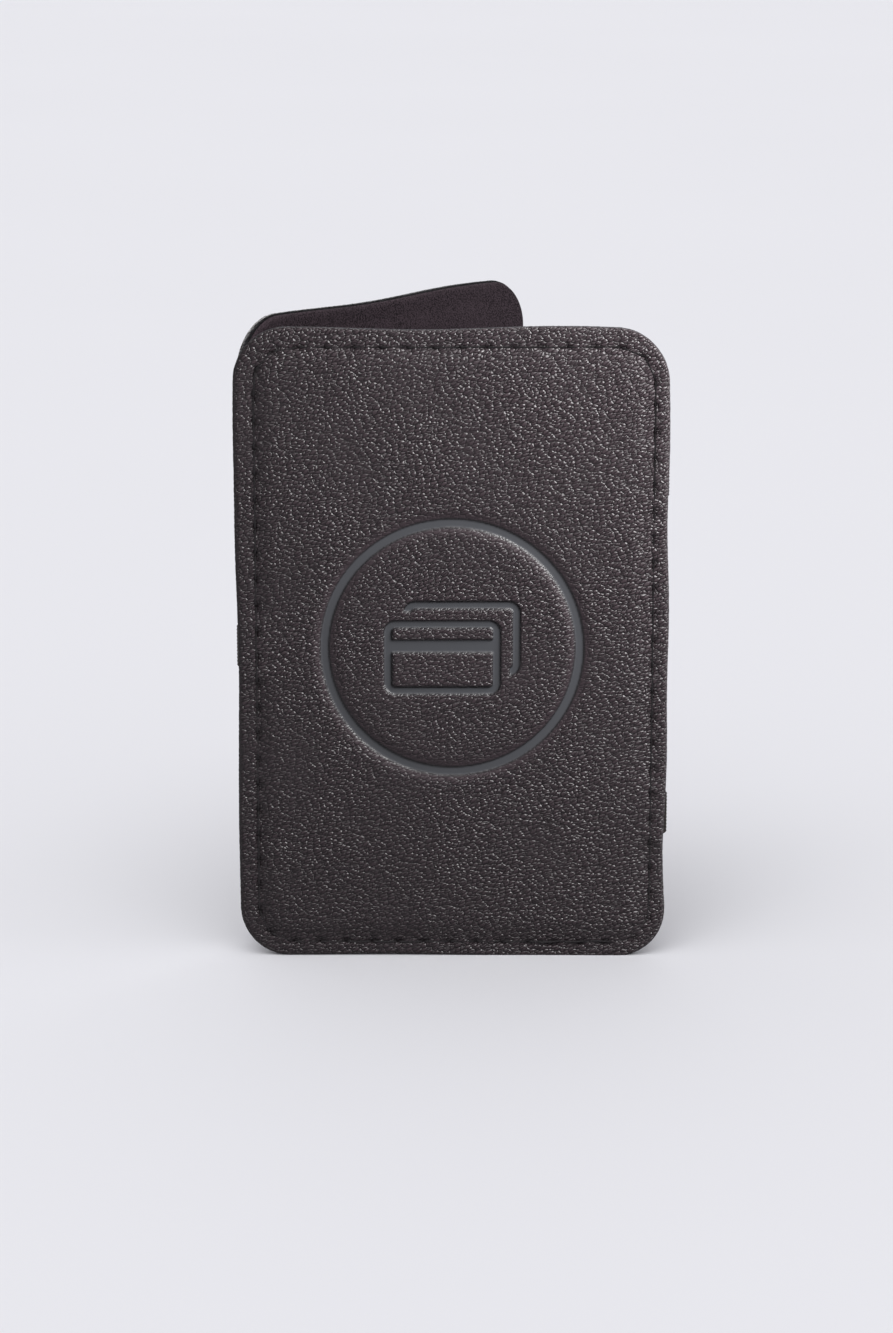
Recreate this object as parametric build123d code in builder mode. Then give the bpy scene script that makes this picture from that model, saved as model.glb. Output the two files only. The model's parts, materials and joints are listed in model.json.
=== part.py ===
from build123d import *
import math
import os

# Folding card holder: two stiff stitched panels joined by three ribbed elastic straps.
#
# The straps cross over at the fold, as on a Jacob's ladder: the upper and lower straps leave the free edge of
# the front panel, lie on its inner face and are sewn into the fold edge of the rear panel; the middle strap
# leaves the fold edge of the front panel, lies on the inner face of the rear panel and is sewn into its free
# edge. Cards are tucked under the straps. The holder is modelled standing on its lower edges, part open.
#
# Frame, in millimetres: +Z up, the front panel's outer face looks along -Y, and the fold is at -X. The origin
# is the centre of the whole holder's footprint, on the surface that it stands on.

# Panels
panel_width = 70.0
panel_height = 105.0
corner_radius = 8.4
cover_thick = 1.2
board_thick = 0.8
lining_thick = 0.9
lining_inset = 0.6
board_gap = 0.7
edge_round = 0.2

# Seam round each panel
seam_inset = 2.75
seam_shift_across = 0.4
seam_shift_up = -0.35
stitch_pitch = 4.3
thread_thick = 0.3
thread_clearance = 0.06
needle_hole = 0.7

# Elastic straps
strap_width = 7.0
strap_clearance = 0.05
strap_past_seam = 0.7
strap_from_end = 24.2
lift_angle = 8.0
settle_angle = 5.0
slack_radius = 30.0

# Fold
open_angle = 48.0
card_stack = 3.0
closed_clearance = 0.25
closed_shift = 3.0
axis_set_back = 1.2

# Pressed mark on the front cover: a ring round a plain outline of two cards
mark_depth = 0.4
ring_diameter = 43.0
ring_line = 1.5
card_mark_width = 19.0
card_mark_height = 12.4
card_mark_corner = 1.9
card_mark_line = 1.3
card_mark_offset = 3.2
stripe_from_top = 3.2
stripe_height = 2.2

panel_thick = cover_thick + board_thick + lining_thick
slit_mid = cover_thick + board_thick / 2
half_width = panel_width / 2
lining_half_width = half_width - lining_inset
strap_thick = board_thick - 2 * strap_clearance
seam_furthest_in = seam_inset + abs(seam_shift_across) + needle_hole / 2
strap_tail = seam_furthest_in + strap_past_seam - lining_inset
board_inset = lining_inset + strap_tail + board_gap
closed_gap = card_stack + board_thick + closed_clearance
groove_width = thread_thick + 2 * thread_clearance
groove_depth = thread_thick + thread_clearance
strap_wrap_radius = lining_thick / 2 + board_thick / 2
strap_stands_out = strap_wrap_radius + strap_thick / 2 - lining_inset
flat_gap = strap_stands_out + 2 * strap_clearance
strap_levels = {
    "upper_strap": panel_height - strap_from_end,
    "middle_strap": panel_height / 2,
    "lower_strap": strap_from_end,
}

# The fold's axis stands upright between the two inner faces. closed_shift is how far the rear panel's fold
# edge stands in from the front one's when closed. flat_gap, between the edges when laid flat, takes a strap.
axis_x = -half_width + (closed_shift - flat_gap) / 2
axis_y = panel_thick + closed_gap / 2 + axis_set_back

# Local frame of each panel: x across, y up, z out of the outer face. The front one stands at y = 0.
front_plane = Plane(origin=(0, 0, panel_height / 2), x_dir=(1, 0, 0), z_dir=(0, -1, 0))
rear_closed_y = 2 * panel_thick + closed_gap
rear_plane_closed = Plane(
    origin=(closed_shift, rear_closed_y, panel_height / 2),
    x_dir=(-1, 0, 0),
    z_dir=(0, 1, 0),
)


def turn_about_fold(point, angle):
    """A point or direction of the closed holder, turned about the fold's axis by the opening angle."""
    turned = Vector(point) - Vector(axis_x, axis_y, 0)
    return turned.rotate(Axis.Z, angle) + Vector(axis_x, axis_y, 0)


rear_plane = Plane(
    origin=turn_about_fold(rear_plane_closed.origin, open_angle),
    x_dir=rear_plane_closed.x_dir.rotate(Axis.Z, open_angle),
    z_dir=rear_plane_closed.z_dir.rotate(Axis.Z, open_angle),
)


def seam_holes():
    """Needle holes in a panel's own plane, evenly spaced round a rounded rectangle."""
    with BuildSketch(Plane.XY) as seam:
        RectangleRounded(
            panel_width - 2 * seam_inset,
            panel_height - 2 * seam_inset,
            corner_radius - seam_inset,
        )
    path = seam.face().outer_wire()
    count = round(path.length / stitch_pitch)
    points = [path @ (i / count) for i in range(count)]
    return [(p.X + seam_shift_across, p.Y + seam_shift_up) for p in points]


holes = seam_holes()


def outline(inset, mode=Mode.ADD):
    """Draws a panel's outline in the current sketch, drawn in from the cover's cut edge."""
    RectangleRounded(
        panel_width - 2 * inset,
        panel_height - 2 * inset,
        corner_radius - inset,
        mode=mode,
    )


def seam_ribbon(width):
    """Draws the line of the seam in the current sketch."""
    with Locations((seam_shift_across, seam_shift_up)):
        outline(seam_inset - width / 2)
        outline(seam_inset + width / 2, Mode.SUBTRACT)


def needle_circles(diameter):
    """Draws a circle at every needle hole in the current sketch."""
    with Locations(*holes):
        Circle(diameter / 2)


def card_outline(width, height, corner, line):
    """Draws a card's outline in the current sketch."""
    RectangleRounded(width, height, corner)
    RectangleRounded(
        width - 2 * line, height - 2 * line, corner - line, mode=Mode.SUBTRACT
    )


def press_mark():
    """Draws the ring and the two overlapping cards in the current sketch."""
    Circle(ring_diameter / 2)
    Circle(ring_diameter / 2 - ring_line, mode=Mode.SUBTRACT)
    back = (card_mark_offset / 2, card_mark_offset / 2)
    front = (-card_mark_offset / 2, -card_mark_offset / 2)
    with Locations(back):
        card_outline(
            card_mark_width, card_mark_height, card_mark_corner, card_mark_line
        )
    with Locations(front):
        RectangleRounded(
            card_mark_width + 2 * card_mark_line,
            card_mark_height + 2 * card_mark_line,
            card_mark_corner + card_mark_line,
            mode=Mode.SUBTRACT,
        )
        card_outline(
            card_mark_width, card_mark_height, card_mark_corner, card_mark_line
        )
    stripe_y = front[1] + card_mark_height / 2 - stripe_from_top - stripe_height / 2
    with Locations((front[0], stripe_y)):
        Rectangle(card_mark_width, stripe_height)


def make_cover(plane, with_mark):
    """Outer layer: grained sheet with needle holes and the groove that the needle thread is pulled into."""
    with BuildPart() as cover:
        with BuildSketch(plane):
            outline(0)
        extrude(amount=-cover_thick)
        outer_face = cover.faces().sort_by(Axis(plane.origin, plane.z_dir))[-1]
        fillet(outer_face.outer_wire().edges(), edge_round)
        with BuildSketch(plane):
            needle_circles(needle_hole)
        extrude(amount=-cover_thick, mode=Mode.SUBTRACT)
        with BuildSketch(plane):
            seam_ribbon(groove_width)
        extrude(amount=-groove_depth, mode=Mode.SUBTRACT)
        if with_mark:
            with BuildSketch(plane):
                press_mark()
            extrude(amount=-mark_depth, mode=Mode.SUBTRACT)
    return cover.part


def make_board(plane):
    """The stiff sheet between the two outer layers, kept inside the seam and clear of the straps' tails."""
    with BuildPart() as board:
        with BuildSketch(plane.offset(-cover_thick)):
            outline(board_inset)
        extrude(amount=-board_thick)
    return board.part


def make_lining(plane):
    """Inner layer, a little smaller than the cover, with the bobbin thread's groove in its inner face."""
    inner_face = plane.offset(-panel_thick)
    with BuildPart() as lining:
        with BuildSketch(inner_face):
            outline(lining_inset)
        extrude(amount=lining_thick)
        with BuildSketch(inner_face):
            needle_circles(needle_hole)
        extrude(amount=lining_thick, mode=Mode.SUBTRACT)
        with BuildSketch(inner_face):
            seam_ribbon(groove_width)
        extrude(amount=groove_depth, mode=Mode.SUBTRACT)
    return lining.part


def make_thread(plane, face_z, inward):
    """One thread of the lockstitch: a line on its groove's floor, with a leg down each needle hole.
    face_z is the sewn face's height in the panel's frame, and inward is -1 or 1, into the panel."""
    floor = plane.offset(face_z + inward * groove_depth)
    leg_reach = abs(-slit_mid - face_z) - groove_depth - thread_clearance
    with BuildPart() as thread:
        with BuildSketch(floor):
            seam_ribbon(thread_thick)
        extrude(amount=-inward * thread_thick)
        with BuildSketch(floor.offset(-inward * thread_thick)):
            needle_circles(needle_hole - 2 * thread_clearance)
        extrude(amount=inward * (leg_reach + thread_thick))
    return thread.part


def heading(angle):
    """Unit direction in the XY plane."""
    return Vector(math.cos(math.radians(angle)), math.sin(math.radians(angle)), 0)


def along(start, direction, length):
    """A straight run of a strap's centre line."""
    return Line(start, start + direction * length)


def turn_right(line, radius, angle):
    """An arc to the right that carries on from a line or an arc."""
    return JernArc(start=line @ 1, tangent=line % 1, radius=radius, arc_size=-angle)


def run_to_line(start, direction, point, next_angle):
    """How far a run goes before it meets the line through a point at next_angle."""
    ahead = heading(next_angle)
    across = point - start
    return (across.X * ahead.Y - across.Y * ahead.X) / (
        direction.X * ahead.Y - direction.Y * ahead.X
    )


def outer_strap_path():
    """Centre line of an outer strap, from the front panel's free edge to the rear panel's fold edge."""
    face_y = slit_mid + 2 * strap_wrap_radius
    wrap_centre = turn_about_fold(
        (
            -half_width + closed_shift + lining_inset,
            panel_thick + closed_gap + lining_thick / 2,
            0,
        ),
        open_angle,
    )
    rising_angle = 180 - lift_angle
    left_of_rise = heading(rising_angle + 90)
    lift_end = wrap_centre + left_of_rise * strap_wrap_radius
    run_start = Vector(lining_half_width, face_y, 0)
    run = run_to_line(run_start, heading(180), lift_end, rising_angle)
    corner = run_start + heading(180) * run
    ease = slack_radius * math.tan(math.radians(lift_angle / 2))
    with BuildLine() as path:
        tail = along(
            Vector(lining_half_width - strap_tail, slit_mid, 0),
            heading(0),
            strap_tail,
        )
        wrap = JernArc(tail @ 1, tail % 1, strap_wrap_radius, 180)
        flat = along(wrap @ 1, heading(180), run - ease)
        rise = turn_right(flat, slack_radius, lift_angle)
        across = along(rise @ 1, rise % 1, (lift_end - corner).length - ease)
        fold = turn_right(across, strap_wrap_radius, 180 - lift_angle - open_angle)
        along(fold @ 1, fold % 1, strap_tail)
    return path.line


def middle_strap_path():
    """Centre line of the middle strap, from the front panel's fold edge to the rear panel's free edge."""
    wrap_centre = Vector(-lining_half_width, slit_mid + strap_wrap_radius, 0)
    leave_angle = open_angle + settle_angle
    leave = heading(leave_angle)
    leave_point = wrap_centre + heading(leave_angle + 90) * strap_wrap_radius
    rear_face_y = panel_thick + closed_gap + lining_thick / 2 - strap_wrap_radius
    rear_end = turn_about_fold(
        (half_width + closed_shift - lining_inset, rear_face_y, 0), open_angle
    )
    reach = run_to_line(leave_point, leave, rear_end, open_angle)
    corner = leave_point + leave * reach
    ease = slack_radius * math.tan(math.radians(settle_angle / 2))
    with BuildLine() as path:
        tail = along(
            Vector(-lining_half_width + strap_tail, slit_mid, 0),
            heading(180),
            strap_tail,
        )
        wrap = turn_right(tail, strap_wrap_radius, 180 - leave_angle)
        off = along(wrap @ 1, wrap % 1, reach - ease)
        settle = turn_right(off, slack_radius, settle_angle)
        flat = along(settle @ 1, settle % 1, (rear_end - corner).length - ease)
        fold = JernArc(flat @ 1, flat % 1, strap_wrap_radius, 180)
        along(fold @ 1, fold % 1, strap_tail)
    return path.line


def make_strap(path, level):
    """A flat elastic strap along its centre line, with the needle holes of the seams that catch its tails."""
    with BuildPart() as strap:
        with BuildSketch(Plane.XY.offset(level - strap_width / 2)):
            with BuildLine():
                add(path)
            trace(line_width=strap_thick)
        extrude(amount=strap_width)
        for plane in (front_plane, rear_plane):
            with BuildSketch(plane.offset(-cover_thick)):
                needle_circles(needle_hole)
            extrude(amount=-board_thick, mode=Mode.SUBTRACT)
    return strap.part


def make_panel(name, plane, with_mark):
    """All the fixed layers and threads of one panel, by node name."""
    return {
        f"{name}_cover": make_cover(plane, with_mark),
        f"{name}_board": make_board(plane),
        f"{name}_lining": make_lining(plane),
        f"{name}_needle_thread": make_thread(plane, 0, -1),
        f"{name}_bobbin_thread": make_thread(plane, -panel_thick, 1),
    }


pieces = {
    **make_panel("front", front_plane, True),
    **make_panel("rear", rear_plane, False),
}
for name, level in strap_levels.items():
    path = middle_strap_path() if name == "middle_strap" else outer_strap_path()
    pieces[name] = make_strap(path, level)

# The footprint's centre goes to the origin.
boxes = [piece.bounding_box() for piece in pieces.values()]
middle_x = (min(b.min.X for b in boxes) + max(b.max.X for b in boxes)) / 2
middle_y = (min(b.min.Y for b in boxes) + max(b.max.Y for b in boxes)) / 2
to_origin = Location((-middle_x, -middle_y, 0))
os.makedirs("parts", exist_ok=True)
for name, piece in pieces.items():
    placed = piece.moved(to_origin)
    placed.label = name
    export_step(placed, f"parts/{name}.step")

print("fold axis foot", axis_x - middle_x, axis_y - middle_y)
print("front panel middle", -middle_x, "front face", -middle_y)
print("needle holes", len(holes), "panel thickness", panel_thick)
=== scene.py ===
"""Card holder: two stitched, grained panels on crossing elastic straps, and the table it stands on.

Every piece is made round the CAD frame. A panel is drawn in its own coordinates, in metres: u across from
its middle, v up from its middle, and w out from its outer face, so that its inside is at negative w.
"""

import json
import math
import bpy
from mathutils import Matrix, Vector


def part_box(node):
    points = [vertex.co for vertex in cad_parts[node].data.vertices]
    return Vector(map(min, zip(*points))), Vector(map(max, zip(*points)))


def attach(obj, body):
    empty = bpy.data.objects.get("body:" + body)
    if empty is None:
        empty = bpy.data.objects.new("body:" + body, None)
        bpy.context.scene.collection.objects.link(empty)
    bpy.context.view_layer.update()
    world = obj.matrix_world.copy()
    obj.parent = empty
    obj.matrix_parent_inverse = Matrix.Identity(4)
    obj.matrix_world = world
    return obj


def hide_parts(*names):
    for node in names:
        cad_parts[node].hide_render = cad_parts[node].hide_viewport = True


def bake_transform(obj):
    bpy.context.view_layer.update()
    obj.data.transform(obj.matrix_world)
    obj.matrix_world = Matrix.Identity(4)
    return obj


bl_info = {
    "name": "Strap Card Holder",
    "version": (1, 0, 0),
    "blender": (4, 5, 0),
    "location": "View3D > Sidebar > Card Holder",
    "description": "Builds a part open card holder of stitched panels and ribbed elastic straps",
    "category": "Object",
}

import bpy
import numpy as np
from mathutils import Vector

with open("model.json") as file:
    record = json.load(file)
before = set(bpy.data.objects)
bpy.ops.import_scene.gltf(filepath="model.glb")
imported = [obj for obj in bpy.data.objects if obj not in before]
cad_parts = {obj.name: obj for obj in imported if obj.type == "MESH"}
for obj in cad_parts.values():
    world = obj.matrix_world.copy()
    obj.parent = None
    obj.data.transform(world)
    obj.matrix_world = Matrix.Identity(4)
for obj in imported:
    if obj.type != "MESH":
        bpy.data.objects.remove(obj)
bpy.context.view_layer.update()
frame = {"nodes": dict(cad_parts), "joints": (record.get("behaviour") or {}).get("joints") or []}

MM = 0.001
FOLD = frame["joints"][0]
OPEN_ANGLE = -math.radians(FOLD["range_deg"][0])
FOLD_X, FOLD_Y = FOLD["pos_m"][0], FOLD["pos_m"][1]
COVER_LOW, COVER_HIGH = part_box("front_cover")
BOARD_LOW, BOARD_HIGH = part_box("front_board")
LINING_LOW, LINING_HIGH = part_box("front_lining")
SEAM_LOW, SEAM_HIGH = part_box("front_needle_thread")
STRAP_NODES = ("upper_strap", "middle_strap", "lower_strap")
BODIES = {"front": "front_panel", "rear": "rear_panel"}

# How far the box of the CAD thread goes beyond the line of needle holes.
THREAD_BEYOND_SEAM = 0.29 * MM
# How far the seam draws each sheet in, as a share of the board's thickness.
SEAM_PULL = 0.42


class CardHolderSizes(bpy.types.PropertyGroup):
    """Sizes that the frame doesn't give, and the shape of the soft details."""

    corner_radius: bpy.props.FloatProperty(
        name="Corner Radius",
        description="Radius of a panel's corners",
        default=8.4 * MM,
        unit="LENGTH",
    )
    closed_gap: bpy.props.FloatProperty(
        name="Closed Gap",
        description="Space between the inner faces of the closed holder",
        default=4.05 * MM,
        unit="LENGTH",
    )
    closed_shift: bpy.props.FloatProperty(
        name="Closed Shift",
        description="How far the rear panel's fold edge stands in from the front one's when closed",
        default=3.0 * MM,
        unit="LENGTH",
    )
    stitch_pitch: bpy.props.FloatProperty(
        name="Stitch Pitch",
        description="Distance from one needle hole to the next",
        default=4.3 * MM,
        unit="LENGTH",
    )
    thread_radius: bpy.props.FloatProperty(
        name="Thread Radius",
        description="Radius of the sewing thread",
        default=0.17 * MM,
        unit="LENGTH",
    )
    grain_cell: bpy.props.FloatProperty(
        name="Grain Cell",
        description="Width of one pebble of the grain",
        default=0.60 * MM,
        unit="LENGTH",
    )
    grain_height: bpy.props.FloatProperty(
        name="Grain Height",
        description="Height of the grain's pebbles",
        default=0.012 * MM,
        unit="LENGTH",
    )
    ring_diameter: bpy.props.FloatProperty(
        name="Ring Diameter",
        description="Outer diameter of the pressed ring",
        default=43.0 * MM,
        unit="LENGTH",
    )
    ring_line: bpy.props.FloatProperty(
        name="Ring Line",
        description="Width of the pressed ring's floor",
        default=1.5 * MM,
        unit="LENGTH",
    )
    mark_depth: bpy.props.FloatProperty(
        name="Mark Depth",
        description="Depth of the pressed ring and mark",
        default=0.4 * MM,
        unit="LENGTH",
    )
    strap_rib: bpy.props.FloatProperty(
        name="Strap Rib",
        description="Distance between the ribs of the elastic",
        default=0.58 * MM,
        unit="LENGTH",
    )


class CardHolderColours(bpy.types.PropertyGroup):
    """Colours of the holder's materials."""

    leather: bpy.props.FloatVectorProperty(
        name="Leather",
        description="Colour of the grained covers",
        default=(0.0108, 0.0068, 0.0084),
        subtype="COLOR",
        min=0.0,
        max=1.0,
    )
    pressed: bpy.props.FloatVectorProperty(
        name="Pressed",
        description="Colour of the smooth floor of the pressed mark",
        default=(0.0225, 0.0238, 0.0265),
        subtype="COLOR",
        min=0.0,
        max=1.0,
    )
    lining: bpy.props.FloatVectorProperty(
        name="Lining",
        description="Colour of the matt inner sheets",
        default=(0.0450, 0.0325, 0.0385),
        subtype="COLOR",
        min=0.0,
        max=1.0,
    )
    thread: bpy.props.FloatVectorProperty(
        name="Thread",
        description="Colour of the sewing thread",
        default=(0.0085, 0.0062, 0.0072),
        subtype="COLOR",
        min=0.0,
        max=1.0,
    )
    elastic: bpy.props.FloatVectorProperty(
        name="Elastic",
        description="Colour of the ribbed straps",
        default=(0.040, 0.033, 0.030),
        subtype="COLOR",
        min=0.0,
        max=1.0,
    )
    board: bpy.props.FloatVectorProperty(
        name="Board",
        description="Colour of the stiffeners",
        default=(0.05, 0.05, 0.05),
        subtype="COLOR",
        min=0.0,
        max=1.0,
    )
    table: bpy.props.FloatVectorProperty(
        name="Table",
        description="Colour of the pale table",
        default=(0.80, 0.80, 0.83),
        subtype="COLOR",
        min=0.0,
        max=1.0,
    )


# ---- The panels' own coordinates ----


class Panel:
    """One panel: its sizes, and where its own coordinates lie in the row frame."""

    def __init__(self, name, sizes):
        self.name = name
        self.sizes = sizes
        self.middle, self.half = middle_and_half(COVER_LOW, COVER_HIGH)
        self.cover_thick = COVER_HIGH.y - COVER_LOW.y
        self.board_thick = BOARD_HIGH.y - BOARD_LOW.y
        self.lining_thick = LINING_HIGH.y - LINING_LOW.y
        self.thick = self.cover_thick + self.board_thick + self.lining_thick
        self.drawn_in = SEAM_PULL * self.board_thick
        self.lining_inset = LINING_LOW.x - COVER_LOW.x
        seam_middle, self.seam_half = middle_and_half(SEAM_LOW, SEAM_HIGH)
        shift = seam_middle - self.middle
        # The rear panel is the front one turned over, so its seam stands off the other way across.
        self.seam_shift = shift if name == "front" else shift * (-1, 1)
        self.seam_half -= THREAD_BEYOND_SEAM
        self.seam_radius = sizes.corner_radius - (self.half[0] - self.seam_half[0])

    def to_row(self, points):
        """Points in the panel's own coordinates, in the row frame."""
        points = np.asarray(points, float)
        x = self.middle[0] + points[:, 0]
        z = self.middle[1] + points[:, 1]
        if self.name == "front":
            return np.column_stack([x, COVER_LOW.y - points[:, 2], z])
        y = COVER_LOW.y + 2 * self.thick + self.sizes.closed_gap + points[:, 2]
        x, y = turned(x + self.sizes.closed_shift, y)
        return np.column_stack([x, y, z])

    def strap_ends(self):
        """(side, height above the middle) of each strap's tail between this panel's sheets."""
        ends = []
        for node in STRAP_NODES:
            low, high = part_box(node)
            side = -1 if (node == "middle_strap") == (self.name == "front") else 1
            ends.append((side, (low.z + high.z) / 2 - self.middle[1]))
        return ends

    def pinch(self, u, v):
        """From 0 over the board to 1 where the seam draws the sheets together, less over a strap's tail."""
        seam_line, board_edge = 2.6 * MM, 6.0 * MM
        tail_start, tail_full = self.half[0] - 9.0 * MM, self.half[0] - 6.0 * MM
        tail_half_width, tail_clear = 3.9 * MM, 7.0 * MM
        edge = -rounded_box(u, v, self.half, self.sizes.corner_radius)
        drawn = 1 - smooth_step(edge, seam_line, board_edge)
        for side, height in self.strap_ends():
            across = smooth_step(side * u, tail_start, tail_full)
            beside = 1 - smooth_step(np.abs(v - height), tail_half_width, tail_clear)
            drawn = drawn * (1 - across * beside)
        return drawn


def middle_and_half(low, high):
    """Middle and half size of a box, across and up."""
    low, high = np.array([low.x, low.z]), np.array([high.x, high.z])
    return (low + high) / 2, (high - low) / 2


def turned(x, y):
    """A place in the closed holder's plan, turned about the fold to where it stands when part open."""
    c, s = math.cos(OPEN_ANGLE), math.sin(OPEN_ANGLE)
    x, y = x - FOLD_X, y - FOLD_Y
    return FOLD_X + x * c - y * s, FOLD_Y + x * s + y * c


def smooth_step(x, low, high):
    """0 below low and 1 above high, with a smooth rise between them."""
    t = np.clip((x - low) / (high - low), 0.0, 1.0)
    return t * t * (3 - 2 * t)


def rounded_box(u, v, half, radius):
    """Signed distance to a rounded rectangle, negative inside."""
    qu = np.abs(u) - (half[0] - radius)
    qv = np.abs(v) - (half[1] - radius)
    outside = np.hypot(np.maximum(qu, 0), np.maximum(qv, 0))
    return outside + np.minimum(np.maximum(qu, qv), 0) - radius


def band(distance, half_width, wall):
    """1 on the floor of a groove, falling to 0 over its walls."""
    return 1 - smooth_step(np.abs(distance), half_width - wall / 2, half_width + wall / 2)


def needle_holes(panel):
    """Needle holes and the seam's direction at each, evenly spaced along the seam."""
    half, radius = panel.seam_half, panel.seam_radius
    straight = 2 * (half - radius)
    quarter = math.pi / 2 * radius
    total = 2 * straight.sum() + 4 * quarter
    count = round(total / panel.sizes.stitch_pitch)
    # Even sides are straight, odd ones are the corners after them.
    lengths = [straight[0], quarter, straight[1], quarter] * 2
    holes = []
    for i in range(count):
        run = i * total / count
        side = 0
        while run > lengths[side]:
            run -= lengths[side]
            side += 1
        heading = math.pi / 2 * (side // 2)
        along = np.array([math.cos(heading), math.sin(heading)])
        out = np.array([along[1], -along[0]])
        run_half, stand = half if side // 2 % 2 == 0 else half[::-1]
        reach = run_half - radius
        if side % 2 == 0:
            point = along * (run - reach) + out * stand
        else:
            turn = run / radius
            centre = along * reach + out * (stand - radius)
            point = centre + radius * (out * math.cos(turn) + along * math.sin(turn))
            along = along * math.cos(turn) - out * math.sin(turn)
        holes.append((point + panel.seam_shift, along))
    return holes


# ---- Relief of the sheets ----


def waves(u, v, size, seed):
    """Smooth uneven field between about -1 and 1, for sheets that don't lie quite flat."""
    rng = np.random.RandomState(seed)
    total = np.zeros_like(u)
    for _ in range(5):
        angle, phase = rng.uniform(0, 2 * math.pi, 2)
        k = 2 * math.pi / (size * rng.uniform(0.7, 1.6))
        total += np.sin(k * (u * math.cos(angle) + v * math.sin(angle)) + phase)
    return total / 3.0


def pebbles(u, v, cell, seed):
    """Height of a pebbled grain, 0 in the creases and 1 on the pebbles, drawn out along a diagonal."""
    lean, long_side, short_side = math.radians(30), cell * 1.3, cell * 0.85
    along = (u * math.cos(lean) + v * math.sin(lean)) / long_side
    across = (-u * math.sin(lean) + v * math.cos(lean)) / short_side
    # The spots repeat after a tile of cells, and far is beyond the reach of any of them.
    tile, far = 256, 9.0
    rng = np.random.RandomState(seed)
    spots = rng.uniform(0.1, 0.9, (tile, tile, 2))
    column, row = np.floor(along).astype(int), np.floor(across).astype(int)
    first = np.full(u.shape, far)
    second = np.full(u.shape, far)
    for i in (-1, 0, 1):
        for j in (-1, 0, 1):
            spot = spots[(column + i) % tile, (row + j) % tile]
            reach = np.hypot(
                column + i + spot[..., 0] - along, row + j + spot[..., 1] - across
            )
            second = np.minimum(second, np.maximum(first, reach))
            first = np.minimum(first, reach)
    return smooth_step(second - first, 0.0, 0.45)


def seam_relief(panel, u, v, channel, pit):
    """Depth of the channel along the seam and of the slots that the needle left in it."""
    channel_reach, slot_length, slot_width, slots_within = 0.75 * MM, 0.95 * MM, 0.36 * MM, 1.2 * MM
    line = rounded_box(
        u - panel.seam_shift[0], v - panel.seam_shift[1], panel.seam_half, panel.seam_radius
    )
    depth = channel * np.exp(-((line / channel_reach) ** 2))
    near = np.abs(line) < slots_within
    slots = np.zeros(near.sum())
    nu, nv = u[near], v[near]
    for point, along in needle_holes(panel):
        du, dv = nu - point[0], nv - point[1]
        lengthwise = (du * along[0] + dv * along[1]) / slot_length
        sideways = (-du * along[1] + dv * along[0]) / slot_width
        slots = np.maximum(slots, np.exp(-((lengthwise**2 + sideways**2) ** 1.5)))
    depth[near] += pit * slots
    return depth


def edge_fall(edge, reach, fall):
    """How far a sheet's shown face falls away over its rounded rim."""
    rolled = np.clip(1 - edge / reach, 0, 1)
    return fall * (1 - np.sqrt(np.clip(1 - rolled**2, 0, 1)))


def card_outline(u, v, middle, half, corner, line):
    """Floor of one pressed card outline, and all that is inside it or within a clear margin of it."""
    wall, margin = 0.3 * MM, 1.3 * MM
    distance = rounded_box(u - middle[0], v - middle[1], half, corner)
    floor = band(distance + line / 2, line / 2, wall)
    inside = 1 - smooth_step(distance, margin, 1.6 * MM)
    return floor, inside


def pressed_mark(u, v, sizes):
    """(floor, halo) of the pressed ring and two overlapped cards: floor is 1 in the pressed lines, and
    halo fades from 1 on the smooth slope beside the ring, and from less round the cards."""
    out = np.hypot(u, v)
    ring_middle = (sizes.ring_diameter - sizes.ring_line) / 2
    ring_wall, slope_start, slope_reach = 0.35 * MM, 0.8 * MM, 0.85 * MM
    ring = band(out - ring_middle, sizes.ring_line / 2, ring_wall)
    beside = np.maximum(np.abs(out - ring_middle) - slope_start, 0)
    halo = np.exp(-((beside / slope_reach) ** 2))
    half = np.array([9.5, 6.2]) * MM
    corner, line, shift = 1.9 * MM, 1.3 * MM, 1.6 * MM
    back, _ = card_outline(u, v, (shift, shift), half, corner, line)
    front, inside = card_outline(u, v, (-shift, -shift), half, corner, line)
    stripe_drop, stripe_half, stripe_wall = 3.2 * MM, 1.1 * MM, 0.3 * MM
    stripe_v = -shift + half[1] - stripe_drop - stripe_half
    stripe = band(v - stripe_v, stripe_half, stripe_wall)
    stripe *= 1 - smooth_step(np.abs(u + shift), half[0] - 0.2 * MM, half[0] + 0.1 * MM)
    cards = np.maximum(np.maximum(back * (1 - inside), front), stripe)
    near_cards = rounded_box(u, v, half + shift, corner)
    halo = np.maximum(halo, 0.25 * (1 - smooth_step(near_cards, 0.2 * MM, 2.2 * MM)))
    return np.maximum(ring, cards), halo


# ---- Meshes ----


def spaced(low, high, fine_low, fine_high, fine, coarse):
    """Rising values from low to high, closer together between fine_low and fine_high."""
    first = np.linspace(low, fine_low, max(2, round((fine_low - low) / coarse)), endpoint=False)
    second = np.linspace(
        fine_low, fine_high, max(2, round((fine_high - fine_low) / fine)), endpoint=False
    )
    third = np.linspace(fine_high, high, max(2, round((high - fine_high) / coarse)) + 1)
    return np.concatenate([first, second, third])


def sheet_grid(half, radius, fine_reach, fine, coarse):
    """A grid of (u, v) points that fills a rounded rectangle, finer within fine_reach of its middle."""
    arc = np.radians(np.linspace(0, 90, 27))
    straight = half[1] - radius
    middle_rows = spaced(-straight, straight, -fine_reach, fine_reach, fine, coarse)
    rows = np.concatenate(
        [
            -straight - radius * np.sin(arc[:0:-1]),
            middle_rows,
            straight + radius * np.sin(arc[1:]),
        ]
    )
    over = np.clip((np.abs(rows) - straight) / radius, 0, 1)
    widths = half[0] - radius + radius * np.sqrt(np.clip(1 - over**2, 0, 1))
    reach = fine_reach / half[0]
    columns = spaced(-1, 1, -reach, reach, fine / half[0], coarse / half[0])
    u = widths[:, None] * columns[None, :]
    v = np.repeat(rows[:, None], len(columns), axis=1)
    return u, v


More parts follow.
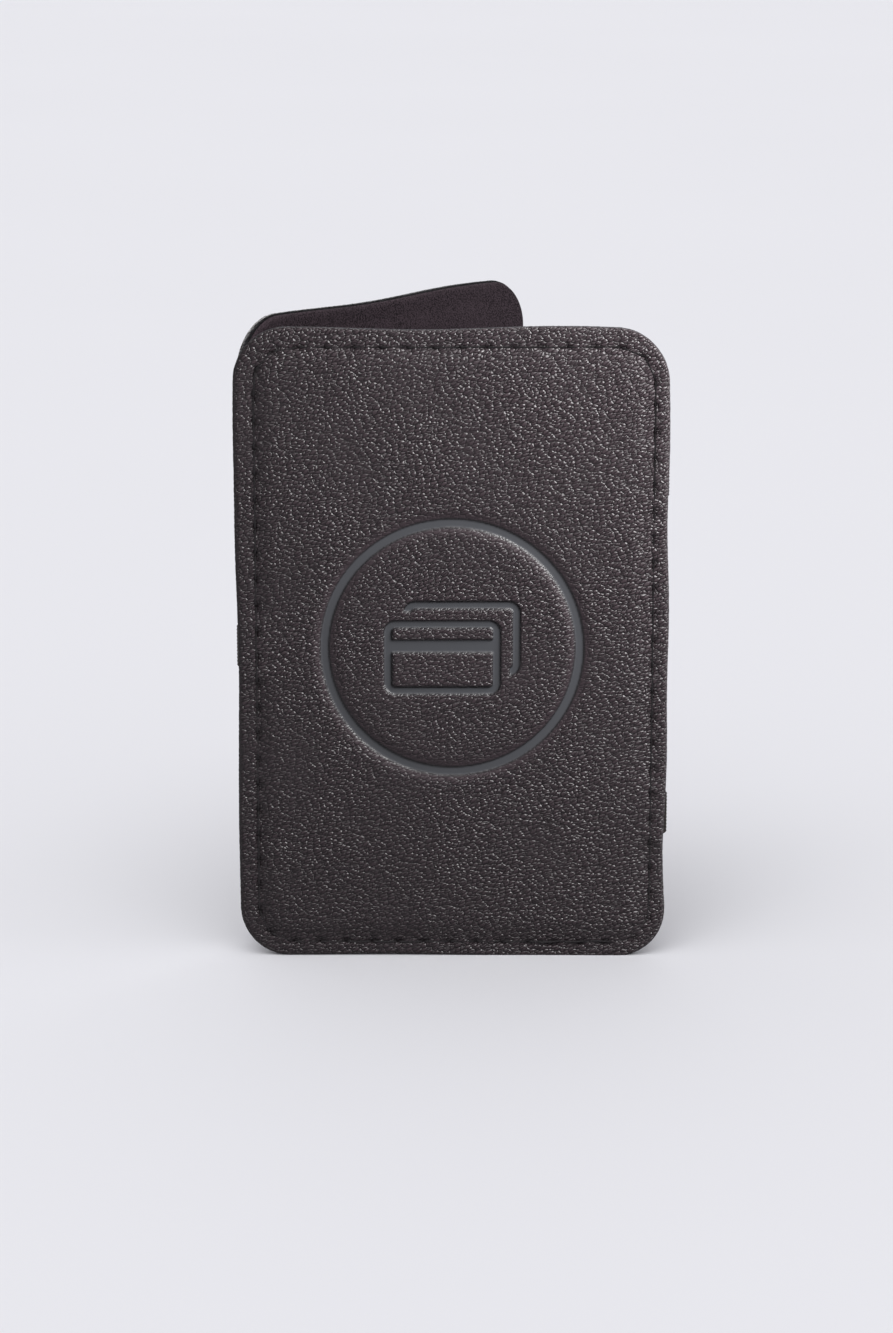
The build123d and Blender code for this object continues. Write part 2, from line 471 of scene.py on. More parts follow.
def rim_order(rows, columns):
    """Indices of a grid's outermost points, once round, bottom row first."""
    index = np.arange(rows * columns).reshape(rows, columns)
    return np.concatenate(
        [index[0, :-1], index[:-1, -1], index[-1, :0:-1], index[:0:-1, 0]]
    )


def rim_outward(ring_u, ring_v):
    """Unit vectors that point out of a sheet's rim, in the sheet's plane."""
    outward = np.column_stack(
        [np.roll(ring_v, -1) - np.roll(ring_v, 1), np.roll(ring_u, 1) - np.roll(ring_u, -1)]
    )
    return outward / (np.linalg.norm(outward, axis=1)[:, None] + 1e-12)


def make_rim_uneven(points, panel):
    """Moves a sheet's points near its rim a little in or out, and none of them below the table."""
    uneven = waves(points[:, 0], points[:, 1], size=30 * MM, seed=5) * 0.3 * MM
    distance = rounded_box(points[:, 0], points[:, 1], panel.half, panel.sizes.corner_radius)
    scale = 1 + uneven * smooth_step(distance, -6 * MM, 0) / panel.half[0]
    points[:, 0] *= scale
    points[:, 1] = np.maximum(points[:, 1] * scale, -panel.half[1])


def new_piece(name, points, faces, material, attributes=None):
    """Makes a mesh piece from points in the row frame."""
    mesh = bpy.data.meshes.new(name)
    mesh.from_pydata(np.asarray(points).tolist(), [], faces)
    mesh.validate()
    mesh.shade_smooth()
    for label, values in (attributes or {}).items():
        layer = mesh.attributes.new(label, "FLOAT", "POINT")
        layer.data.foreach_set("value", np.asarray(values, np.float32))
    mesh.materials.append(material)
    piece = bpy.data.objects.new(name, mesh)
    bpy.context.scene.collection.objects.link(piece)
    return piece


def make_sheet(panel, name, layer, grid, face_relief, material, marks=None):
    """Makes one sheet of a panel: its shown face with relief, its cut edge and its plain back.
    layer holds the shown face's w, the back's w and the way out of the shown face."""
    face_w, back_w, out = layer
    u, v = grid
    rows, columns = u.shape
    u, v = u.ravel(), v.ravel()
    w = face_w + out * face_relief - out * panel.drawn_in * panel.pinch(u, v)
    rim = rim_order(rows, columns)
    ring_u, ring_v = u[rim], v[rim]
    outward = rim_outward(ring_u, ring_v)
    back = back_w - out * panel.drawn_in * panel.pinch(ring_u, ring_v)
    points = [np.column_stack([u, v, w])]
    # How far down the cut edge each ring of points stands, and how many millimetres it swells out.
    steps = (0.2, 0.55, 0.9, 1.0)
    bulge = (0.05, 0.08, 0.05, -0.1)
    fray = np.random.RandomState(11).uniform(-1, 1, (len(steps), len(rim))) * 0.03 * MM
    for i, (share, swell) in enumerate(zip(steps, bulge)):
        reach = (swell * MM + fray[i])[:, None] * outward
        level = w[rim] + (back - w[rim]) * share
        points.append(np.column_stack([ring_u + reach[:, 0], ring_v + reach[:, 1], level]))
    points = np.concatenate(points)
    make_rim_uneven(points, panel)
    shown = rows * columns
    index = np.arange(shown).reshape(rows, columns)
    corners = [index[:-1, :-1], index[:-1, 1:], index[1:, 1:], index[1:, :-1]]
    faces = np.stack(corners, axis=-1).reshape(-1, 4).tolist()
    previous = rim
    for i in range(len(steps)):
        ring = shown + i * len(rim) + np.arange(len(rim))
        corners = [previous, ring, np.roll(ring, -1), np.roll(previous, -1)]
        faces += np.stack(corners, axis=-1).tolist()
        previous = ring
    faces.append(previous[::-1].tolist())
    if (out > 0) != (panel.name == "front"):
        faces = [face[::-1] for face in faces]
    attributes = {}
    for label, values in (marks or {}).items():
        attributes[label] = np.concatenate([values.ravel(), np.zeros(len(points) - shown)])
    # cut_edge is 1 on the cut edge and 0.5 on its rim, where the leather's material paints the edge paler:
    # partly its raw colour, partly a painted rim highlight.
    edge = np.zeros(len(points))
    edge[shown:] = 1
    edge[rim] = 0.5
    attributes["cut_edge"] = edge
    piece = new_piece(name, panel.to_row(points), faces, material, attributes)
    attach(piece, BODIES[panel.name])
    return piece


def tube(points, radius, sides=8):
    """Vertices and faces of a round thread along a list of points in a panel's own coordinates."""
    points = np.asarray(points, float)
    ahead = np.gradient(points, axis=0)
    ahead /= np.linalg.norm(ahead, axis=1)[:, None]
    up = np.array([0.0, 0.0, 1.0])
    side = np.cross(ahead, up)
    side /= np.linalg.norm(side, axis=1)[:, None]
    lift = np.cross(side, ahead)
    vertices, faces = [], []
    around = np.linspace(0, 2 * math.pi, sides, endpoint=False)
    end_taper = 0.55
    for i, point in enumerate(points):
        taper = end_taper if i in (0, len(points) - 1) else 1.0
        for a in around:
            arm = side[i] * math.cos(a) + lift[i] * math.sin(a)
            vertices.append(point + radius * taper * arm)
    for i in range(len(points) - 1):
        for k in range(sides):
            a, b = i * sides + k, i * sides + (k + 1) % sides
            faces.append([a, b, b + sides, a + sides])
    faces.append(list(range(sides))[::-1])
    last = (len(points) - 1) * sides
    faces.append([last + k for k in range(sides)])
    return vertices, faces


def stitch_line(start, end, out, proud):
    """Centre line of one stitch over a sheet at w = 0: it dips into a hole at each end."""
    dip = 0.42 * MM
    shares = np.linspace(0, 1, 11)
    ends = np.abs(2 * shares - 1)
    base = start[None, :] + (end - start)[None, :] * shares[:, None]
    w = out * (proud - (dip + proud) * ends**7)
    return np.column_stack([base, w])


# ---- Straps ----


def facing(angle):
    """Unit vector in plan at an angle from the row's x axis."""
    return np.array([math.cos(angle), math.sin(angle)])


def walk(start, angle, moves):
    """Points and left-hand normals along runs and turns in plan. A turn to the left has a positive angle."""
    longest_step, widest_step = 0.9 * MM, math.radians(10)
    points, normals = [np.array(start, float)], [facing(angle + math.pi / 2)]
    for move in moves:
        if move[0] == "run":
            steps = max(2, math.ceil(move[1] / longest_step))
            for _ in range(steps):
                points.append(points[-1] + facing(angle) * move[1] / steps)
                normals.append(facing(angle + math.pi / 2))
        else:
            _, radius, bend = move
            steps = max(3, math.ceil(abs(bend) / widest_step))
            centre = points[-1] + facing(angle + math.copysign(math.pi / 2, bend)) * radius
            arm = points[-1] - centre
            for i in range(1, steps + 1):
                part = bend * i / steps
                c, s = math.cos(part), math.sin(part)
                swung = np.array([arm[0] * c - arm[1] * s, arm[0] * s + arm[1] * c])
                points.append(centre + swung)
                normals.append(facing(angle + part + math.pi / 2))
            angle += bend
    return np.array(points), np.array(normals)


def reach_to(start, angle, point, next_angle):
    """How far a run goes before it meets the line through a point at another angle."""
    ahead, after = facing(angle), facing(next_angle)
    across = point - start
    toward = ahead[0] * after[1] - ahead[1] * after[0]
    return (across[0] * after[1] - across[1] * after[0]) / toward


def strap_route(panel, node):
    """Points and normals of a strap's middle line in plan. The outer straps go from the front panel's
    free edge to the rear panel's fold edge, and the middle one from fold edge to free edge."""
    wrap = (panel.lining_thick + panel.board_thick) / 2
    slit = COVER_LOW.y + panel.cover_thick + panel.board_thick / 2
    inner_face = COVER_LOW.y + panel.thick
    edge = panel.half[0] - panel.lining_inset
    shift, gap = panel.sizes.closed_shift, panel.sizes.closed_gap
    tail_clearance = 0.7 * MM
    tail = BOARD_LOW.x - COVER_LOW.x - panel.lining_inset - tail_clearance
    slack = 30 * MM
    # How much of the loop round the front panel's edge is pulled in, as a share of its reach.
    pulled_in = 0.1 if node == "lower_strap" else 0.5
    if node == "middle_strap":
        # It leaves the front panel a little steeper than the rear one stands, and settles onto it.
        settle = math.radians(5)
        leave = OPEN_ANGLE + settle
        centre = np.array([-edge, slit + wrap])
        leave_point = centre + facing(leave + math.pi / 2) * wrap
        rear_end = np.array(turned(edge + shift, inner_face + gap - panel.board_thick / 2))
        reach = reach_to(leave_point, leave, rear_end, OPEN_ANGLE)
        ease = slack * math.tan(settle / 2)
        corner = leave_point + facing(leave) * reach
        flat = np.linalg.norm(rear_end - corner) - ease
        moves = [("run", tail), ("turn", wrap, leave - math.pi), ("run", reach - ease)]
        moves += [("turn", slack, -settle), ("run", flat), ("turn", wrap, math.pi), ("run", tail)]
        points, normals = walk((-edge + tail, slit), math.pi, moves)
        points[:, 0] -= np.minimum(points[:, 0] + edge, 0) * pulled_in
        return points, normals
    # They lie along the front lining, then lift off it to reach the rear panel's fold edge.
    lift = math.radians(8)
    rear_edge = -panel.half[0] + shift + panel.lining_inset
    centre = np.array(turned(rear_edge, inner_face + gap + panel.lining_thick / 2))
    rising = math.pi - lift
    run_start = np.array([edge, slit + 2 * wrap])
    on_line = centre + facing(rising + math.pi / 2) * wrap
    reach = reach_to(run_start, math.pi, on_line, rising)
    ease = slack * math.tan(lift / 2)
    corner = run_start + facing(math.pi) * reach
    across = np.linalg.norm(on_line - corner) - ease
    moves = [("run", tail), ("turn", wrap, math.pi), ("run", reach - ease), ("turn", slack, -lift)]
    moves += [("run", across), ("turn", wrap, OPEN_ANGLE - rising), ("run", tail)]
    points, normals = walk((edge - tail, slit), 0.0, moves)
    points[:, 0] -= np.maximum(points[:, 0] - edge, 0) * pulled_in
    return points, normals


def valleys(heights, width, rib):
    """1 in the valleys between the elastic's ribs, and 0 on the ribs."""
    return np.abs(np.cos(heights / width * round(width / rib) * math.pi))


def strap_section(width, half_thick, rib):
    """Outline of the elastic's cut end: (height, offset) points, with ribs on both faces."""
    valley_depth, edge_roll, edge_share = 0.075 * MM, 0.12 * MM, 0.35
    heights = np.linspace(-width / 2, width / 2, round(width / rib) * 6 + 1)
    wave = valleys(heights, width, rib) ** 0.7
    rolled = 1 - np.exp(-((width / 2 - np.abs(heights)) / edge_roll))
    offset = (half_thick - valley_depth * wave) * (edge_share + (1 - edge_share) * rolled)
    face = np.column_stack([heights, offset])
    return np.concatenate([face, (face * (1, -1))[::-1]])


def strap_mesh(route, normals, section, middle):
    """Points and faces of a strap: its section at each step of its route. middle is its height."""
    count = len(section)
    points = []
    for point, normal in zip(route, normals):
        across = np.outer(section[:, 1], normal) + point
        points.append(np.column_stack([across, middle + section[:, 0]]))
    faces = []
    for i in range(len(route) - 1):
        for k in range(count):
            a, b = i * count + k, i * count + (k + 1) % count
            faces.append([a, b, b + count, a + count])
    faces.append(list(range(count))[::-1])
    faces.append([(len(route) - 1) * count + k for k in range(count)])
    return np.concatenate(points), faces


# ---- Materials ----


class Nodes:
    """A short way to write a material's node tree. Inputs named i0, i1 and so on go by their index."""

    def __init__(self, name, roughness, specular):
        self.material = bpy.data.materials.new(name)
        self.material.use_nodes = True
        self.tree = self.material.node_tree
        self.shader = self.tree.nodes["Principled BSDF"]
        self.shader.inputs["Roughness"].default_value = roughness
        self.shader.inputs["Specular IOR Level"].default_value = specular
        self.place = self.add("ShaderNodeTexCoord").outputs["Object"]

    def add(self, kind, settings=None, **inputs):
        """Adds a node with its settings, and links or sets its inputs."""
        node = self.tree.nodes.new(kind)
        for key, value in (settings or {}).items():
            setattr(node, key, value)
        for key, value in inputs.items():
            by_index = key[0] == "i" and key[1:].isdigit()
            socket = node.inputs[int(key[1:]) if by_index else key]
            if isinstance(value, bpy.types.NodeSocket):
                self.tree.links.new(value, socket)
            else:
                socket.default_value = value
        return node

    def link(self, output, name):
        """Links an output to the shader's input of that name."""
        self.tree.links.new(output, self.shader.inputs[name])

    def math(self, operation, a, b=0.0):
        return self.add("ShaderNodeMath", {"operation": operation}, i0=a, i1=b).outputs[0]

    def mix(self, share, a, b):
        node = self.add("ShaderNodeMix", {"data_type": "RGBA"}, i0=share)
        for index, value in ((6, a), (7, b)):
            if isinstance(value, bpy.types.NodeSocket):
                self.tree.links.new(value, node.inputs[index])
            else:
                node.inputs[index].default_value = (*value, 1.0)
        return node.outputs[2]

    def spread(self, value, low, high, to_low=0.0, to_high=1.0):
        """Maps a value's range from low to high onto another range."""
        ends = {"i1": low, "i2": high, "i3": to_low, "i4": to_high}
        return self.add("ShaderNodeMapRange", None, i0=value, **ends).outputs[0]

    def noise(self, scale, detail=3.0, vector=None):
        place = self.place if vector is None else vector
        node = self.add("ShaderNodeTexNoise", None, Vector=place, Scale=scale, Detail=detail)
        return node.outputs["Fac"]

    def bump(self, height, distance, strength=1.0, normal=None):
        node = self.add("ShaderNodeBump", None, Height=height, Distance=distance, Strength=strength)
        if normal is not None:
            self.tree.links.new(normal, node.inputs["Normal"])
        return node.outputs["Normal"]

    def attribute(self, label):
        return self.add("ShaderNodeAttribute", {"attribute_name": label}).outputs["Fac"]


def shade(colour, factor):
    """A colour made darker or paler by a factor."""
    return tuple(min(1.0, c * factor) for c in colour)


def leather_material(name, colours, sizes, tilt):
    """Black pebbled sheet: drawn-out pebbles, fine pores, smooth pressed places and a raw cut edge, with
    painted shade in the creases and on the pressed walls and a painted highlight along the rim.
    tilt is how far the panel is turned about the upright, so that the grain runs the same way on both."""
    nodes = Nodes(name, roughness=0.4, specular=0.25)
    scale = 1 / sizes.grain_cell
    lean = nodes.add(
        "ShaderNodeMapping",
        {"vector_type": "TEXTURE"},
        Vector=nodes.place,
        Rotation=(0.0, math.radians(-30), tilt),
        Scale=(1.6, 1.0, 0.78),
    ).outputs[0]
    drift = nodes.add("ShaderNodeTexNoise", None, Vector=lean, Scale=0.5 * scale, Detail=2.0)
    drift = nodes.add(
        "ShaderNodeVectorMath",
        {"operation": "MULTIPLY_ADD"},
        i0=drift.outputs["Color"],
        i1=(0.55 * sizes.grain_cell,) * 3,
        i2=lean,
    ).outputs[0]
    centres, edges = [
        nodes.add(
            "ShaderNodeTexVoronoi", {"feature": feature}, Vector=drift, Scale=scale, Randomness=1.0
        ).outputs["Distance"]
        for feature in ("F1", "DISTANCE_TO_EDGE")
    ]
    fine = nodes.noise(1.7 * scale, 3.0, lean)
    smooth = nodes.attribute("smoothed")
    pressed = nodes.attribute("pressed")
    edge = nodes.attribute("cut_edge")
    patches = nodes.noise(70.0, 2.0)
    uneven = nodes.spread(patches, 0.35, 0.65, 0.7, 1.15)
    strength = nodes.math("MULTIPLY", uneven, nodes.math("SUBTRACT", 1.0, smooth))
    pebble = nodes.spread(edges, 0.0, 0.2)
    dome = nodes.math("SUBTRACT", 1.0, nodes.math("POWER", nodes.math("MULTIPLY", centres, 1.2), 2.0))
    height = nodes.math("ADD", nodes.math("MULTIPLY", dome, 0.55), nodes.math("MULTIPLY", pebble, 0.45))
    height = nodes.math("ADD", height, nodes.math("MULTIPLY", fine, 0.3))
    height = nodes.math("MULTIPLY", height, strength)
    pebble_depth, pore_depth = 0.00024, 0.000012
    grain = nodes.bump(height, pebble_depth, 1.0)
    nodes.link(nodes.bump(nodes.noise(9000.0, 4.0), pore_depth, 0.6, grain), "Normal")
    # Painted shade: the colour darkens in the creases between the pebbles, where shade falls.
    crease_shade = nodes.math("MULTIPLY", nodes.math("SUBTRACT", 1.0, pebble), strength)
    colour = nodes.mix(nodes.math("MULTIPLY", crease_shade, 0.8), colours.leather, shade(colours.leather, 0.15))
    colour = nodes.mix(nodes.spread(patches, 0.4, 0.7, 0.0, 0.3), colour, shade(colours.leather, 1.6))
    colour = nodes.mix(nodes.math("MULTIPLY", smooth, 0.35), colour, shade(colours.leather, 1.5))
    colour = nodes.mix(nodes.math("MULTIPLY", pressed, 0.9), colour, colours.pressed)
    # Painted shade: the walls of the pressed ring and mark are darkened where shade falls on them.
    wall = nodes.math("MULTIPLY", pressed, nodes.math("SUBTRACT", 1.0, pressed))
    colour = nodes.mix(nodes.math("MULTIPLY", wall, 3.0), colour, shade(colours.leather, 0.2))
    # The cut edge is painted paler than the face: partly the raw edge's own fibre colour, partly a painted
    # highlight along the rim.
    fibres = nodes.spread(nodes.noise(2600.0, 5.0), 0.35, 0.7)
    raw = nodes.mix(fibres, shade(colours.leather, 0.8), shade(colours.pressed, 1.1))
    nodes.link(nodes.mix(nodes.spread(edge, 0.4, 1.0), colour, raw), "Base Color")
    rough = nodes.spread(nodes.noise(420.0, 3.0), 0.3, 0.7, 0.39, 0.47)
    rough = nodes.math("SUBTRACT", rough, nodes.math("MULTIPLY", pressed, 0.06))
    nodes.link(nodes.math("ADD", rough, nodes.math("MULTIPLY", edge, 0.3)), "Roughness")
    return nodes.material


def lining_material(name, colours):
    """Matt short-napped inner sheet."""
    nodes = Nodes(name, roughness=0.8, specular=0.1)
    nap = nodes.noise(4200.0, 3.0)
    cloud = nodes.spread(nodes.noise(160.0, 3.0), 0.35, 0.7, 0.0, 0.35)
    dark, pale = shade(colours.lining, 0.25), shade(colours.lining, 1.8)
    colour = nodes.mix(nodes.spread(nap, 0.38, 0.62), dark, pale)
    nodes.link(nodes.mix(cloud, colour, shade(colours.lining, 1.6)), "Base Color")
    nodes.link(nodes.bump(nap, 0.00022, 1.0), "Normal")
    return nodes.material


def thread_material(name, base):
    """Dull twisted sewing thread."""
    nodes = Nodes(name, roughness=0.62, specular=0.35)
    twist = nodes.add(
        "ShaderNodeTexWave",
        {"wave_type": "BANDS", "bands_direction": "DIAGONAL"},
        Vector=nodes.place,
        Scale=900.0,
        Distortion=1.0,
    ).outputs["Fac"]
    nodes.link(nodes.mix(twist, shade(base, 0.7), shade(base, 1.5)), "Base Color")
    nodes.link(nodes.bump(twist, 0.00004, 0.8), "Normal")
    return nodes.material


def elastic_material(name, colours):
    """Ribbed elastic: fine yarns across the ribs, with shade painted into the valleys between them."""
    nodes = Nodes(name, roughness=0.85, specular=0.25)
    yarns = nodes.add(
        "ShaderNodeTexWave", {"wave_type": "BANDS"}, Vector=nodes.place, Scale=1100.0, Distortion=1.5
    ).outputs["Fac"]
    # Painted shade: the valleys between the ribs are darkened where shade falls in them.
    valley = nodes.math("MULTIPLY", nodes.attribute("valley"), 0.75)
    colour = nodes.mix(yarns, shade(colours.elastic, 0.8), shade(colours.elastic, 1.35))
    nodes.link(nodes.mix(valley, colour, shade(colours.elastic, 0.25)), "Base Color")
    nodes.link(nodes.bump(yarns, 0.00005, 0.8), "Normal")
    return nodes.material


def board_material(name, colours):
    """Grey fibre board."""
    nodes = Nodes(name, roughness=0.8, specular=0.3)
    specks = nodes.noise(1500.0, 4.0)
    dark, pale = shade(colours.board, 0.7), shade(colours.board, 1.4)
    nodes.link(nodes.mix(nodes.spread(specks, 0.3, 0.7), dark, pale), "Base Color")
    nodes.link(nodes.bump(specks, 0.00005, 0.5), "Normal")
    return nodes.material


def table_material(name, colours):
    """Pale matt table and backdrop."""
    nodes = Nodes(name, roughness=0.7, specular=0.2)
    soft = nodes.spread(nodes.noise(3.0, 2.0), 0.3, 0.7)
    dark, pale = shade(colours.table, 0.995), shade(colours.table, 1.005)
    nodes.link(nodes.mix(soft, dark, pale), "Base Color")
    return nodes.material


# ---- Operators ----


class CARDHOLDER_OT_covers(bpy.types.Operator):
    """Make the grained outer sheets, with the pressed mark on the front one"""

    bl_idname = "card_holder.covers"
    bl_label = "Covers"

    def execute(self, context):
        sizes, colours = context.scene.card_holder_sizes, context.scene.card_holder_colours
        for name in BODIES:
            panel = Panel(name, sizes)
            front = name == "front"
            coarse = 0.42 * MM
            fine = 0.25 * MM if front else coarse
            reach = (sizes.ring_diameter / 2 + 3 * MM) if front else 10 * MM
            u, v = sheet_grid(panel.half, sizes.corner_radius, reach, fine, coarse)
            edge = -rounded_box(u, v, panel.half, sizes.corner_radius)
            floor, halo = pressed_mark(u, v, sizes) if front else (np.zeros_like(u), np.zeros_like(u))
            smooth = np.maximum(floor, 0.7 * halo)
            channel, pit, slope = 0.03 * MM, 0.42 * MM, 0.16 * MM
            relief = -seam_relief(panel, u, v, channel, pit)
            relief -= sizes.mark_depth * floor + slope * halo * (1 - floor)
            seed = 3 if front else 4
            grain = pebbles(u, v, 2.0 * sizes.grain_cell, seed) - 1
            relief += sizes.grain_height * grain * (1 - smooth)
            relief += 0.05 * MM * waves(u, v, 24 * MM, seed) * (1 - smooth)
            relief -= edge_fall(edge, reach=0.5 * MM, fall=0.28 * MM)
            layer = (0.0, -panel.cover_thick, 1)
            tilt = 0.0 if front else OPEN_ANGLE
            material = leather_material(f"{name}_leather", colours, sizes, tilt)
            marks = {"pressed": floor, "smoothed": smooth}
            label = f"{name}_cover_skin"
            piece = make_sheet(panel, label, layer, (u, v), relief.ravel(), material, marks)
            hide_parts(f"{name}_cover")
        return {"FINISHED"}


class CARDHOLDER_OT_linings(bpy.types.Operator):
    """Make the matt inner sheets"""

    bl_idname = "card_holder.linings"
    bl_label = "Linings"

    def execute(self, context):
        sizes, colours = context.scene.card_holder_sizes, context.scene.card_holder_colours
        material = lining_material("lining_cloth", colours)
        for name in BODIES:
            panel = Panel(name, sizes)
            inset = panel.lining_inset
            radius = sizes.corner_radius - inset
            half = panel.half - (inset, 0.4 * inset)
            spacing = 0.5 * MM
            u, v = sheet_grid(half, radius, 10 * MM, fine=spacing, coarse=spacing)
            edge = -rounded_box(u, v, half, radius)
            channel, pit = 0.0, 0.05 * MM
            relief = -seam_relief(panel, u, v, channel, pit)
            relief += 0.03 * MM * waves(u, v, size=20 * MM, seed=8)
            relief -= edge_fall(edge, reach=0.9 * MM, fall=0.4 * MM)
            layer = (-panel.thick, -panel.thick + panel.lining_thick, -1)
            label = f"{name}_lining_sheet"
            piece = make_sheet(panel, label, layer, (u, v), relief.ravel(), material)
            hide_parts(f"{name}_lining")
        return {"FINISHED"}


class CARDHOLDER_OT_threads(bpy.types.Operator):
    """Sew the stitches of both threads round both panels"""

    bl_idname = "card_holder.threads"
    bl_label = "Threads"

    def execute(self, context):
        sizes, colours = context.scene.card_holder_sizes, context.scene.card_holder_colours
        needle = thread_material("needle_thread", colours.thread)
        bobbin = thread_material("bobbin_thread", colours.thread)
        for name in BODIES:
            panel = Panel(name, sizes)
            self.sew(panel, "needle", 0.0, 1, needle)
            self.sew(panel, "bobbin", -panel.thick, -1, bobbin)
        return {"FINISHED"}

    def sew(self, panel, kind, face_w, out, material):
        """Makes one thread's stitches, with the overlapped ones where the seam was fastened off."""
        holes = [point for point, _ in needle_holes(panel)]
        rng = np.random.RandomState(21)
        sunk = -0.16 * MM if kind == "needle" else -0.2 * MM
        overlapped, overlap = -0.02 * MM, 1.6 * MM
        spans = [(holes[i], holes[(i + 1) % len(holes)], sunk) for i in range(len(holes))]
        if kind == "needle":
            for i in range(2, 5):
                first = self.bottom_hole(holes, i)
                shift = np.array([overlap, rng.uniform(-0.25, 0.3) * MM])
                start, end = holes[first] + shift, holes[first + 1] + shift * (0.8, -0.6)
                spans.append((start, end, overlapped))
        vertices, faces = [], []
        for start, end, proud in spans:
            jitter = rng.uniform(-0.05, 0.05, 2) * MM
            line = stitch_line(start + jitter, end + jitter, out, proud)
            pinch = panel.pinch(line[:, 0], line[:, 1])
            line[:, 2] += face_w - out * panel.drawn_in * pinch
            new_vertices, new_faces = tube(line, panel.sizes.thread_radius)
            faces += [[k + len(vertices) for k in face] for face in new_faces]
            vertices += new_vertices
        if panel.name == "rear":
            faces = [face[::-1] for face in faces]
        piece = new_piece(f"{panel.name}_{kind}_stitches", panel.to_row(vertices), faces, material)
        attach(piece, BODIES[panel.name])
        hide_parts(f"{panel.name}_{kind}_thread")

    def bottom_hole(self, holes, count):
        """Index of a hole on the bottom run, counted to the right from the panel's middle."""
        first_quarter = holes[: math.ceil(len(holes) / 4)]
        bottom = [k for k, hole in enumerate(first_quarter) if hole[1] < 0 and hole[0] > 0]
        return bottom[min(count, len(bottom) - 2)]


class CARDHOLDER_OT_straps(bpy.types.Operator):
    """Make the ribbed elastic straps that cross over at the fold"""

    bl_idname = "card_holder.straps"
    bl_label = "Straps"

    def execute(self, context):
        sizes, colours = context.scene.card_holder_sizes, context.scene.card_holder_colours
        panel = Panel("front", sizes)
        material = elastic_material("ribbed_elastic", colours)
        play = 0.06 * MM
        for node in STRAP_NODES:
            low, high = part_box(node)
            width = high.z - low.z
            route, normals = strap_route(panel, node)
            section = strap_section(width, panel.board_thick / 2 - play, sizes.strap_rib)
            points, faces = strap_mesh(route, normals, section, (low.z + high.z) / 2)
            # Mask for the shade painted into the valleys between the ribs.
            valley = np.tile(valleys(section[:, 0], width, sizes.strap_rib) ** 3, len(route))
            attributes = {"valley": valley}
            piece = new_piece(f"{node}_elastic", points, faces, material, attributes)
            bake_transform(piece)
            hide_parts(node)
        return {"FINISHED"}


class CARDHOLDER_OT_boards(bpy.types.Operator):
    """Give the stiffeners inside the panels their material"""

    bl_idname = "card_holder.boards"
    bl_label = "Boards"

    def execute(self, context):
        material = board_material("fibre_board", context.scene.card_holder_colours)
        for name in BODIES:
            board = frame["nodes"][f"{name}_board"]
            board.data.materials.clear()
            board.data.materials.append(material)
        return {"FINISHED"}


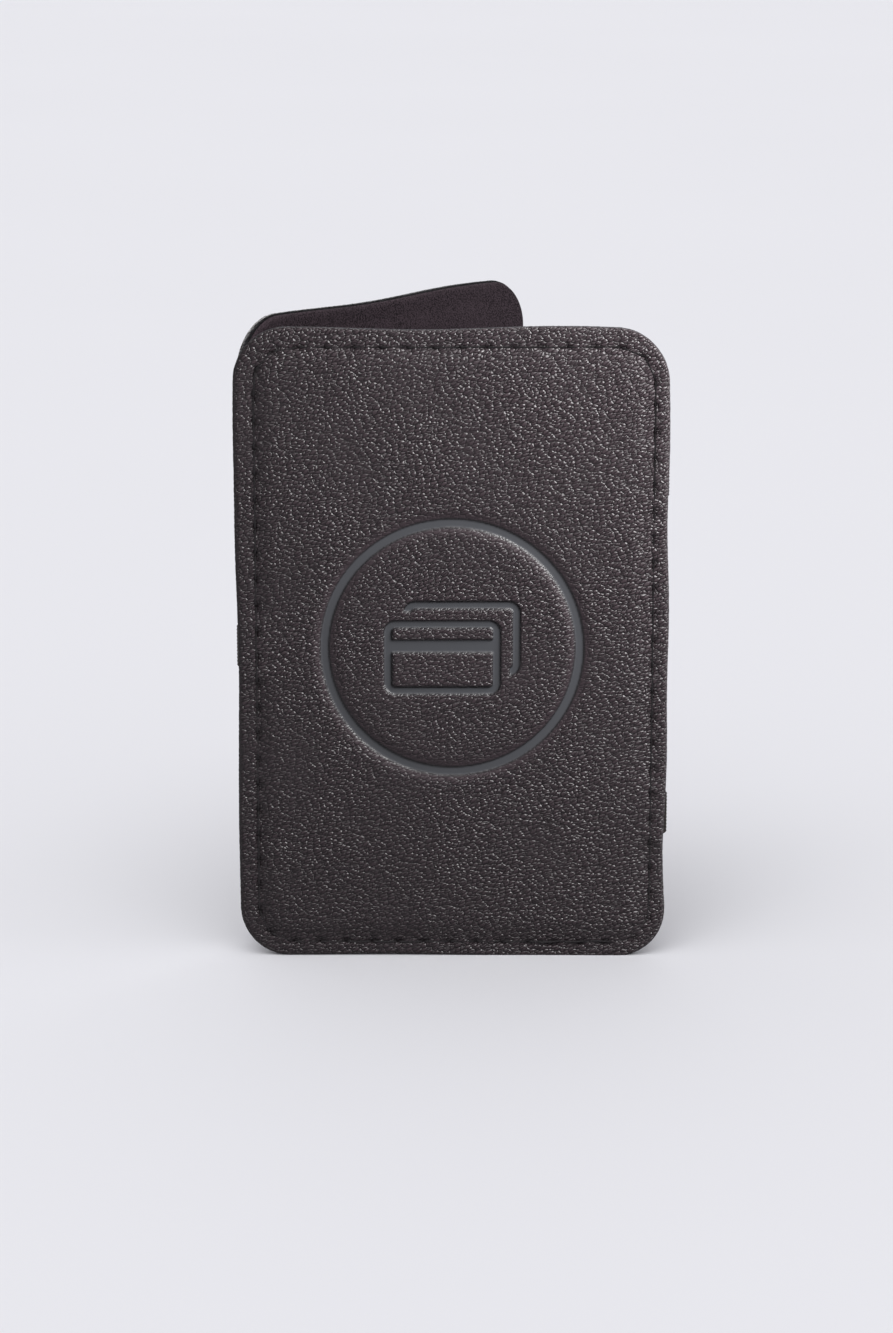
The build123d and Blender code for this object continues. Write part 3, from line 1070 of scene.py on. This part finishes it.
class CARDHOLDER_OT_stage(bpy.types.Operator):
    """Lay the pale table, hang the soft lights and stand the camera"""

    bl_idname = "card_holder.stage"
    bl_label = "Stage"

    def execute(self, context):
        scene = context.scene
        scene.view_settings.view_transform = "Standard"
        self.lay_table(scene.card_holder_colours)
        self.hang_lights(scene)
        self.stand_camera(scene)
        return {"FINISHED"}

    def lay_table(self, colours):
        """A wide level table."""
        reach = 30.0
        corners = [(x * reach, y * reach, 0.0) for x, y in ((-1, -1), (1, -1), (1, 1), (-1, 1))]
        mesh = bpy.data.meshes.new("table")
        mesh.from_pydata(corners, [], [[0, 1, 2, 3]])
        mesh.materials.append(table_material("pale_table", colours))
        table = bpy.data.objects.new("table", mesh)
        bpy.context.scene.collection.objects.link(table)

    def hang_lights(self, scene):
        """An even pale surround, two broad lights from above and a small one for each cover's sheen."""
        world = bpy.data.worlds.new("surround")
        world.use_nodes = True
        surround = world.node_tree.nodes["Background"]
        surround.inputs["Color"].default_value = (1.0, 1.0, 1.03, 1.0)
        surround.inputs["Strength"].default_value = 0.67
        scene.world = world
        for name, aim, strength, spread in (
            ("sky_light", (0.05, 0.50, -1.0), 1.05, 50.0),
            ("front_light", (0.35, 0.80, -0.85), 0.25, 30.0),
        ):
            lamp = bpy.data.lights.new(name, "SUN")
            lamp.energy = strength
            lamp.angle = math.radians(spread)
            self.hang(scene, name, lamp, (0, 0, 1), Vector(aim))
        for name, lit, power, place, aim in (
            ("sheen_light", "front_cover_skin", 1.75, (0.118, -0.10, 0.165), (0.030, -0.031, 0.088)),
            ("rear_sheen_light", "rear_cover_skin", 1.2, (-0.12, 0.13, 0.19), (-0.012, 0.0, 0.080)),
        ):
            lamp = bpy.data.lights.new(name, "AREA")
            lamp.shape = "SQUARE"
            lamp.size = 0.11
            lamp.energy = power
            holder = self.hang(scene, name, lamp, place, Vector(aim) - Vector(place))
            # It lights that cover and nothing else.
            receivers = bpy.data.collections.new(f"lit_by_{name}")
            receivers.objects.link(bpy.data.objects[lit])
            holder.light_linking.receiver_collection = receivers

    def hang(self, scene, name, lamp, place, aim):
        """Hangs one lamp at a place, looking along aim."""
        holder = bpy.data.objects.new(name, lamp)
        holder.location = place
        holder.rotation_euler = aim.to_track_quat("-Z", "Y").to_euler()
        scene.collection.objects.link(holder)
        return holder

    def stand_camera(self, scene):
        """A long lens in front of the front panel, a little above it."""
        look_down = math.radians(13.82)
        away, aim_x, aim_z = 0.610, -0.9 * MM, 49.5 * MM
        camera = bpy.data.cameras.new("camera")
        camera.lens = 101.1
        camera.sensor_width = 36.0
        camera.clip_start = 0.01
        camera.clip_end = 50.0
        stand = bpy.data.objects.new("camera", camera)
        stand.location = (
            aim_x,
            COVER_LOW.y - away * math.cos(look_down),
            aim_z + away * math.sin(look_down),
        )
        stand.rotation_euler = (math.pi / 2 - look_down, 0.0, 0.0)
        scene.collection.objects.link(stand)
        scene.camera = stand


STEPS = (
    CARDHOLDER_OT_covers,
    CARDHOLDER_OT_linings,
    CARDHOLDER_OT_threads,
    CARDHOLDER_OT_straps,
    CARDHOLDER_OT_boards,
    CARDHOLDER_OT_stage,
)


class CARDHOLDER_PT_panel(bpy.types.Panel):
    """Lists the steps that build the card holder, with its sizes and colours"""

    bl_label = "Card Holder"
    bl_idname = "CARDHOLDER_PT_panel"
    bl_space_type = "VIEW_3D"
    bl_region_type = "UI"
    bl_category = "Card Holder"

    def draw(self, context):
        for group in (context.scene.card_holder_sizes, context.scene.card_holder_colours):
            for name in group.__annotations__:
                self.layout.prop(group, name)
        for step in STEPS:
            self.layout.operator(step.bl_idname)


CLASSES = (CardHolderSizes, CardHolderColours, *STEPS, CARDHOLDER_PT_panel)


def register():
    for cls in CLASSES:
        bpy.utils.register_class(cls)
    bpy.types.Scene.card_holder_sizes = bpy.props.PointerProperty(type=CardHolderSizes)
    bpy.types.Scene.card_holder_colours = bpy.props.PointerProperty(type=CardHolderColours)


def unregister():
    del bpy.types.Scene.card_holder_colours
    del bpy.types.Scene.card_holder_sizes
    for cls in reversed(CLASSES):
        bpy.utils.unregister_class(cls)


def main():
    register()
    bpy.ops.card_holder.covers()
    bpy.ops.card_holder.linings()
    bpy.ops.card_holder.threads()
    bpy.ops.card_holder.straps()
    bpy.ops.card_holder.boards()
    bpy.ops.card_holder.stage()
    bpy.context.view_layer.update()


if __name__ == "__main__":
    main()
